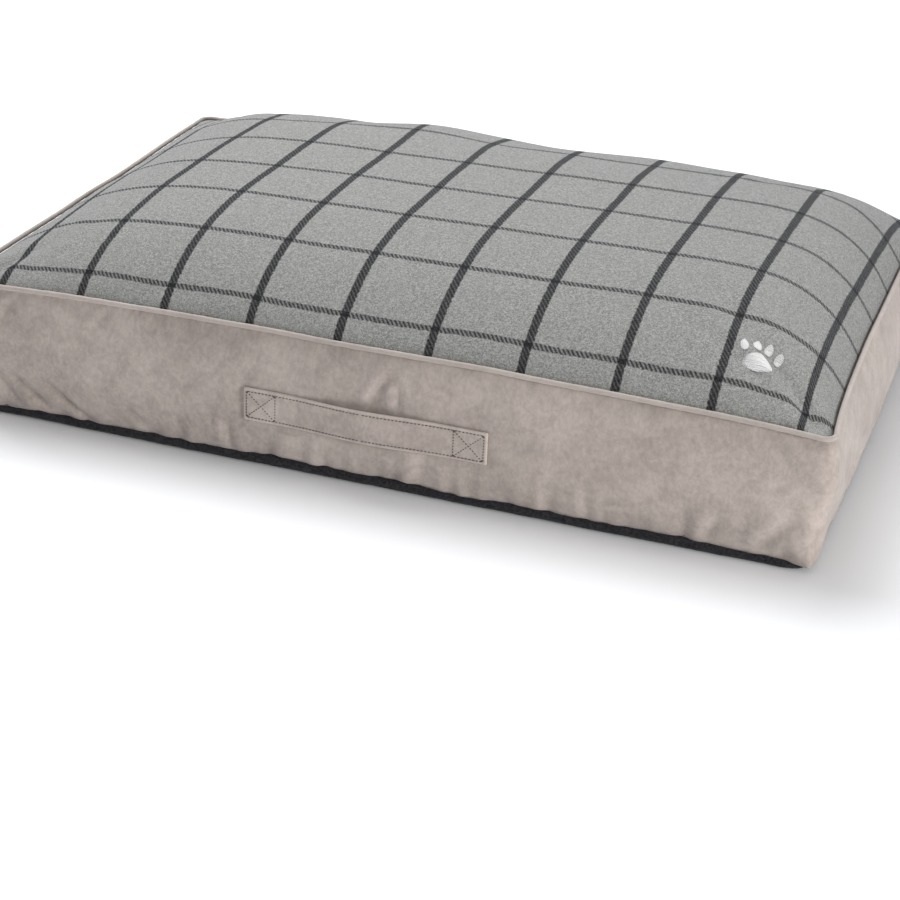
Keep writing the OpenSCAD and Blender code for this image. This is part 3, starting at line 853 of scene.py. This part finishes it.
def piping():
    points, ways, along = loop(FACE_X, FACE_Y, CORNER_R, 2.4 * MM)
    lift, inward = seam_lift(points), pull_in(points)
    r = PIPING_D / 2
    centre_out = PIPING_OUT - r
    centres = np.column_stack([points + ways * (centre_out - inward)[:, None], SEAM_Z + r + lift])
    outs = np.column_stack([ways, np.zeros(len(ways))])
    ups = np.tile([0.0, 0.0, 1.0], (len(ways), 1))
    crease = waves(41, 0.006, 0.02, 9)
    sides = 14
    turn = np.linspace(0, TAU, sides, endpoint=False)

    def outer(i):
        s = along[i]
        row = np.column_stack([s + 1.3 * r * np.cos(turn), 1.2 * r * np.sin(turn), np.full(sides, 0.3)])
        size = r * (1 + 0.05 * crease(row))
        low = 1 + 0.10 * (np.sin(turn) < -0.5)
        return np.column_stack([np.cos(turn) * size * 0.94, np.sin(turn) * size * low])

    def inner(i):
        size = 0.62 * r * (0.9 + 0.1 * np.cos(3 * turn - along[i] * TAU / (9 * MM)))
        return np.column_stack([np.cos(turn) * size, np.sin(turn) * size])
    cover = sweep("piping_cover_cloth", centres, outs, ups, outer)
    store(cover, "cloth", np.column_stack([np.repeat(along, sides), np.tile(turn * r, len(points)),
                                           np.full(len(points) * sides, 0.7)]))
    dress(cover, "piping_suede", "bed", ["piping_cover"])
    core = sweep("piping_core", centres, outs, ups, inner)
    dress(core, "cotton_cord", "bed", ["piping_cord"])


# ---- stitches ----

def resample(line, distances):
    """Points at the given distances along a line of points."""
    steps = np.concatenate([[0], np.cumsum(np.linalg.norm(np.diff(line, axis=0), axis=1))])
    return np.column_stack([np.interp(distances, steps, line[:, k]) for k in range(3)])


def stitches_on(line, length=3.0 * MM, gap=0.65 * MM):
    """Start-to-end paths of a row of stitches laid along a line."""
    total = np.linalg.norm(np.diff(line, axis=0), axis=1).sum()
    count = max(1, int(total // (length + gap)))
    pitch = total / count
    cut_at = np.linspace(0, pitch - gap, 5)
    return [resample(line, k * pitch + gap / 2 + cut_at) for k in range(count)]


def thread_mesh(name, paths, normal, radius=THREAD_R, sides=6,
                dips=(-0.9, 0.25, 0.5, 0.25, -0.9)):
    """Each path becomes one rounded length of thread whose ends dive into the cloth."""
    paths = np.array(paths)
    normals = normal(paths)
    k = paths.shape[1]
    tangent = np.gradient(paths, axis=1)
    tangent /= np.linalg.norm(tangent, axis=2, keepdims=True)
    side = np.cross(tangent, normals)
    side /= np.linalg.norm(side, axis=2, keepdims=True)
    lift = np.cross(side, tangent)
    level = np.interp(np.linspace(0, 1, k), np.linspace(0, 1, len(dips)), dips)
    size = radius * np.interp(np.linspace(0, 1, k), (0, 0.12, 0.5, 0.88, 1), (0.55, 0.9, 1.0, 0.9, 0.55))
    centre = paths + lift * (radius * level)[None, :, None]
    turn = np.linspace(0, TAU, sides, endpoint=False)
    ring = (centre[:, :, None, :]
            + side[:, :, None, :] * (size[None, :, None] * np.cos(turn)[None, None, :])[..., None]
            + lift[:, :, None, :] * (size[None, :, None] * np.sin(turn)[None, None, :])[..., None])
    n = len(paths)
    points = ring.reshape(-1, 3)
    faces = []
    for p in range(n):
        first = p * k * sides
        for i in range(k - 1):
            for j in range(sides):
                m = (j + 1) % sides
                a = first + i * sides
                faces.append((a + j, a + sides + j, a + sides + m, a + m))
        faces.append([first + j for j in range(sides)])
        faces.append([first + (k - 1) * sides + j for j in range(sides)][::-1])
    obj = make(name, points, faces)
    length = np.concatenate([[0], np.cumsum(np.linalg.norm(np.diff(paths[0], axis=0), axis=1))])
    run = np.tile(np.repeat(length, sides), n) + np.repeat(np.arange(n) * 7 * MM, k * sides)
    store(obj, "cloth", np.column_stack([run, np.tile(turn, n * k), np.zeros(n * k * sides)]))
    return obj


def facing(way):
    return lambda paths: np.broadcast_to(np.array(way, float), paths.shape)


# ---- strap ----

strap_wave = waves(53, 0.02, 0.07)


def strap_bow(x):
    """How far the strap's inner face stands off the band at x."""
    t = np.clip(np.abs(x) / STRAP_INNER_X, 0, 1)
    return STRAP_BOW * (1 + np.cos(math.pi * t)) / 2


def strap_line(x, z=0.0, proud=0.0):
    """A point on the strap's outer face, at x along it and z above its centre line."""
    x = np.asarray(x, float)
    y = -FACE_Y - STRAP_T - strap_bow(x) - proud
    return np.column_stack([x, y, STRAP_Z + z + 2.0 * MM * strap_bow(x) / STRAP_BOW])


def strap_half(side):
    """One half of the folded strap, from its sewn end to the middle."""
    n = 96
    xs = np.linspace(STRAP_X, 0, n)
    half_w, half_t = STRAP_W / 2, STRAP_T / 2
    # once round the section: across the outer face, round the fold, back across the inner face
    fold_side = np.linspace(0.86, 1, 5)
    across = np.concatenate([-fold_side[::-1], np.linspace(-0.82, 0.82, 25), fold_side])
    section = [(a, 1) for a in across] + [(a, -1) for a in across[::-1]]
    a = np.array([s[0] for s in section])
    face = np.array([s[1] for s in section])
    rows = []
    for i, x in enumerate(xs):
        from_edge = (1 - np.abs(a)) * half_w
        from_end = (STRAP_X - x)
        round_off = np.sqrt(np.clip(1 - (1 - np.minimum(from_edge, half_t) / half_t) ** 2, 0.03, 1))
        round_end = math.sqrt(min(1, max(0.05, 1 - (1 - min(from_end, half_t) / half_t) ** 2)))
        dip = 0.42 * MM * bump(from_edge, STITCH_INSET, 1.0 * MM)
        if from_end < STITCH_INSET + BOX_L:
            for row in (STITCH_INSET, STITCH_INSET + BOX_L):
                dip = dip + 0.35 * MM * bump(from_end, row, 1.0 * MM)
        p = np.column_stack([np.full(len(a), side * x), a * half_w, np.zeros(len(a))])
        thick = half_t * round_off * round_end
        pillow = 0.25 * MM * np.clip(1 - a * a, 0, 1) + 0.22 * MM * strap_wave(p)
        out = np.where(face > 0, thick + (pillow - dip) * round_off, -thick)
        mid = strap_line([x])[0]
        wide = half_w * (1 - 0.03 * (1 - round_end)) + 0.35 * MM * math.sin(side * x / (23 * MM))
        rows.append(np.column_stack([np.full(len(a), side * x), mid[1] + half_t - out, mid[2] + a * wide]))
    m = len(a)
    faces = []
    for i in range(n - 1):
        for j in range(m):
            k = (j + 1) % m
            quad = (i * m + j, i * m + k, (i + 1) * m + k, (i + 1) * m + j)
            faces.append(quad if side > 0 else quad[::-1])
    # the cap at the middle has its own corners, so that no crease shows where the halves meet
    first, last = list(range(m)), [n * m + j for j in range(m)]
    faces += [first[::-1], last] if side > 0 else [first, last[::-1]]
    where = "right" if side > 0 else "left"
    obj = make("strap_" + where, np.vstack(rows + [rows[-1]]), faces)
    co = coordinates(obj)
    store(obj, "cloth", np.column_stack([co[:, 0] + 3, co[:, 2] + 1,
                                         np.where(np.tile(face, n + 1) > 0, 0.0, 0.4)]))
    # share of painted highlight along the strap's folded edges and ends, read by the suede material
    fold = smooth(np.tile(np.abs(a), n + 1), 1 - 3.0 * MM / half_w, 1)
    end = smooth(np.abs(co[:, 0]), STRAP_X - 2.5 * MM, STRAP_X)
    store(obj, "edge", np.repeat(np.maximum(fold, end)[:, None], 3, axis=1))
    dress(obj, "suede", None, ["handle_end_" + where, "handle_grip"])
    cross_strap(obj)
    # rows of edge stitching along both folds
    paths = []
    xs = np.linspace(STRAP_X - 4 * MM, 1 * MM, 60)
    for edge in (-1, 1):
        line = strap_line(xs, edge * (half_w - STITCH_INSET), -0.25 * MM)
        line[:, 0] *= side
        paths += stitches_on(line)
    rows = thread_mesh("strap_edge_stitches_" + where, paths, facing((0, -1, 0)))
    dress(rows, "thread", None, ["handle_edge_stitching"])
    cross_strap(rows)
    box = box_stitches(side)
    dress(thread_mesh("strap_box_stitches_" + where, box, facing((0, -1, 0))), "thread", "bed",
          ["handle_box_stitch_" + where])


def cross_strap(obj):
    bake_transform(obj)


def box_stitches(side):
    x0, x1 = STRAP_X - STITCH_INSET, STRAP_X - STITCH_INSET - BOX_L
    h = STRAP_W / 2 - STITCH_INSET
    corners = [(x0, -h), (x0, h), (x1, h), (x1, -h)]
    runs = [(corners[0], corners[1]), (corners[2], corners[3]), (corners[0], corners[2]),
            (corners[1], corners[3])]
    paths = []
    for (xa, za), (xb, zb) in runs:
        t = np.linspace(0, 1, 12)
        line = strap_line(xa + (xb - xa) * t, za + (zb - za) * t, -0.1 * MM)
        line[:, 0] *= side
        paths += stitches_on(line, length=2.6 * MM, gap=0.45 * MM)
    return paths


# ---- embroidered motif ----

def surface_of(obj):
    return BVHTree.FromObject(obj, bpy.context.evaluated_depsgraph_get())


def from_above(tree, x, y):
    """The point and normal of the surface met from above."""
    return tree.ray_cast(Vector((x, y, 1)), Vector((0, 0, -1)))[:2]


def back_of(tree, x, z):
    """How far back the surface reaches at x and z."""
    hit = tree.ray_cast(Vector((x, 1, z)), Vector((0, -1, 0)))[0]
    return hit.y if hit else FACE_Y


def motif():
    """A small paw print in satin stitch, lying on the crown."""
    low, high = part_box("embroidered_motif")
    tree = surface_of(top)
    unit = (high.x - low.x) / 28
    mid_x = (low.x + high.x) / 2
    paths, ups = [], []
    sole_y = low.y + 6.5 * unit
    pads = [(mid_x, sole_y, 8.5 * unit, 6.5 * unit, 0.0)]
    for k in (-1.5, -0.5, 0.5, 1.5):
        pads.append((mid_x + 7.4 * unit * k, sole_y + (14 - 2.2 * k * k) * unit, 2.9 * unit, 4.1 * unit,
                     math.radians(-12 * k)))
    for x, y, rx, ry, turn in pads:
        rows = round(2 * ry / SATIN_PITCH)
        for i in range(rows):
            t = (i + 0.5) / rows * 2 - 1
            half = rx * math.sqrt(1 - t * t)
            if rx > 5 * unit:
                half *= 1.08 - 0.28 * t
            line = []
            for s in np.linspace(-1, 1, 9):
                u, v = s * half, t * ry + 0.15 * MM * math.sin(i * 2.4)
                px = x + u * math.cos(turn) - v * math.sin(turn)
                py = y + u * math.sin(turn) + v * math.cos(turn)
                hit, way = from_above(tree, px, py)
                up = np.array(way)
                line.append(np.array(hit) + up * (0.25 + 0.75 * (1 - s ** 4)) * MM)
            paths.append(line)
            ups.append(up)
    normals = np.repeat(np.array(ups)[:, None, :], 9, axis=1)
    obj = thread_mesh("embroidered_paw", paths, lambda p: normals, SATIN_R,
                      dips=(-1.0, 0.0, 0.2, 0.0, -1.0))
    dress(obj, "motif_thread", "bed", ["embroidered_motif"])


# ---- zip ----

def coil(name, node, side):
    """One row of the zip's coil: a filament wound in flat loops along the tape's edge."""
    low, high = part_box(node)
    loops = int((high.x - low.x - 2 * MM) / COIL_PITCH)
    n = 10
    turn = np.arange(loops * n) / n * TAU
    x = low.x + 1 * MM + (np.arange(loops * n) / n + (0.5 if side > 0 else 0)) * COIL_PITCH * 0.999
    y_mid, z_mid = (low.y + high.y) / 2, (low.z + high.z) / 2
    reach_y, reach_z = (high.y - low.y) / 2 - COIL_R, (high.z - low.z) / 2 - COIL_R

    def squared(v):
        return np.sign(v) * np.abs(v) ** 0.6
    centres = np.column_stack([x, y_mid + reach_y * squared(np.sin(turn)),
                               z_mid + reach_z * squared(np.cos(turn))])
    tangent = np.gradient(centres, axis=0)
    tangent /= np.linalg.norm(tangent, axis=1)[:, None]
    out = np.cross(tangent, [1.0, 0, 0])
    out /= np.linalg.norm(out, axis=1)[:, None]
    up = np.cross(out, tangent)
    ring = np.linspace(0, TAU, 5, endpoint=False)
    shape = np.column_stack([np.cos(ring), np.sin(ring)]) * COIL_R
    obj = sweep(name, centres, out, up, lambda i: shape, closed=False)
    dress(obj, "zip_coil", "bed", [node])


def topstitch(name, node, cover):
    """A row of stitches beside the zip, laid on the rear strip."""
    low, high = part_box(node)
    tree = surface_of(cover)
    z = (low.z + high.z) / 2
    line = np.array([(x, back_of(tree, x, z), z) for x in np.linspace(low.x + 3 * MM, high.x - 3 * MM, 160)])
    dress(thread_mesh(name, stitches_on(line), facing((0, 1, 0))), "thread", "bed", [node])


def label(cover):
    """A blank satin label, sewn along its top edge to the lower rear strip."""
    low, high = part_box("care_label")
    tree = surface_of(cover)
    columns, rows = 28, 20
    points = []
    for j in range(rows):
        for i in range(columns):
            x = low.x + (high.x - low.x) * i / (columns - 1)
            t = j / (rows - 1)
            z = high.z + (low.z - high.z) * t
            y = back_of(tree, x, max(z, BASE_Z + 4 * MM)) + 0.55 * MM
            curl = 2.4 * MM * t ** 3 + 0.6 * MM * math.sin(i / columns * 5) * t
            points.append((x, y + curl, z))
    obj = make("blank_label", points, grid_faces(rows, columns))
    thicken(obj, LABEL_T)
    dress(obj, "label", "bed", ["care_label"])
    z = high.z - 2.2 * MM
    line = np.array([(x, back_of(tree, x, z) + 0.6 * MM, z)
                     for x in np.linspace(low.x + 1.5 * MM, high.x - 1.5 * MM, 12)])
    dress(thread_mesh("label_stitches", stitches_on(line, 2.2 * MM, 0.6 * MM), facing((0, 1, 0)),
                      0.22 * MM), "label", "bed")


# ---- pad inside the cover ----

def pad(name, slot, nodes, inset, below):
    """A closed pad that follows the inside of the cover, inset from its sides and top."""
    tree = surface_of(top)
    points = loop(FACE_X - inset, FACE_Y - inset, 22 * MM, 16 * MM)[0]
    floor_z = min(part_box(node)[0].z for node in nodes)
    rings = []
    for f in (0.06, 0.25, 0.45, 0.62, 0.76, 0.87, 0.94, 0.975, 0.99):
        ring = []
        for p in points * f:
            hit = from_above(tree, p[0], p[1])[0]
            ring.append((p[0], p[1], (hit.z if hit else SEAM_Z) - below))
        rings.append(np.array(ring))
    for f, z in ((1, SEAM_Z - 14 * MM), (1, floor_z + 20 * MM), (0.985, floor_z + 4 * MM),
                 (0.95, floor_z), (0.5, floor_z), (0.1, floor_z)):
        rings.append(np.column_stack([points * f, np.full(len(points), z)]))
    n, m = len(points), len(rings)
    faces = [f[::-1] for f in grid_faces(m, n, closed=True)]
    faces.append(list(range(n)))
    faces.append([(m - 1) * n + i for i in range(n)][::-1])
    obj = make(name, np.vstack(rings), faces)
    dress(obj, slot, "bed", nodes)
    return obj


def cad_finishes():
    """Materials for the CAD nodes that stay as they are."""
    slots = {row["node"]: row["material_slot"] for row in frame["record"]["subparts"]}
    for node, obj in frame["nodes"].items():
        if not obj.hide_render:
            obj.data.materials.clear()
            obj.data.materials.append(MATERIALS[slots[node]])


rear_upper, rear_lower = covers()
base()
piping()
strap_half(-1)
strap_half(1)
motif()
coil("coil_upper", "zip_coil_upper", 1)
coil("coil_lower", "zip_coil_lower", -1)
topstitch("topstitch_upper", "zip_topstitch_upper", rear_upper)
topstitch("topstitch_lower", "zip_topstitch_lower", rear_lower)
label(rear_lower)
pad("pad_liner", "liner_cotton", ["liner_top", "liner_bottom"], 20 * MM, 5 * MM)
filling = pad("pad_filling", "fibre", ["fibre_filling"], 22 * MM, 7 * MM)
cad_finishes()


# ---- floor, lights and camera ----

def floor():
    half = 6
    obj = make("floor", [(x * half, y * half, 0) for x, y in ((-1, -1), (1, -1), (1, 1), (-1, 1))],
               [(0, 1, 2, 3)])
    n = Nodes("floor")
    color = n.mix(n.noise(n.place(), 3, 4), (0.90, 0.90, 0.90), (0.93, 0.93, 0.93))
    obj.data.materials.append(n.finish(color, 0.9, specular=0.1))


def lamp(name, place, aim, size, power, color=(1, 1, 1)):
    data = bpy.data.lights.new(name, "AREA")
    data.shape = "RECTANGLE"
    data.size, data.size_y = size
    data.energy = power
    data.color = color
    obj = bpy.data.objects.new(name, data)
    obj.location = place
    obj.rotation_euler = (Vector(aim) - Vector(place)).to_track_quat("-Z", "Y").to_euler()
    bpy.context.scene.collection.objects.link(obj)


LENS = 86.274                              # mm, on a sensor 36 mm wide
VIEW_ANGLES = (-18.104, 26.376, 2.628)     # yaw, pitch down and roll in degrees
VIEW_FROM = (0.6726, -2.0884, 0.9930)
WORLD_LIGHT = 0.40


def camera():
    data = bpy.data.cameras.new("camera")
    data.sensor_width = 36
    data.lens = LENS
    yaw, pitch, roll = map(math.radians, VIEW_ANGLES)
    ahead = Vector((math.sin(yaw) * math.cos(pitch), math.cos(yaw) * math.cos(pitch), -math.sin(pitch)))
    right = Vector((math.cos(yaw), -math.sin(yaw), 0))
    up = right.cross(ahead)
    right, up = (math.cos(roll) * right + math.sin(roll) * up,
                 -math.sin(roll) * right + math.cos(roll) * up)
    turn = Matrix((right, up, -ahead)).transposed()
    obj = bpy.data.objects.new("camera", data)
    obj.matrix_world = Matrix.Translation(VIEW_FROM) @ turn.to_4x4()
    bpy.context.scene.collection.objects.link(obj)
    bpy.context.scene.camera = obj


floor()
lamp("sky", (-1.2, 1.0, 2.6), (0, 0, 0.1), (2.6, 2.2), 116, (0.96, 0.975, 1.0))
lamp("key", (2.7, -1.6, 0.9), (0.2, -0.1, 0.1), (0.9, 0.7), 58)
world = bpy.data.worlds.new("world")
world.use_nodes = True
background = world.node_tree.nodes["Background"].inputs
background[0].default_value = (0.95, 0.96, 1.0, 1)
background[1].default_value = WORLD_LIGHT
bpy.context.scene.world = world
bpy.context.scene.view_settings.view_transform = "Standard"
camera()
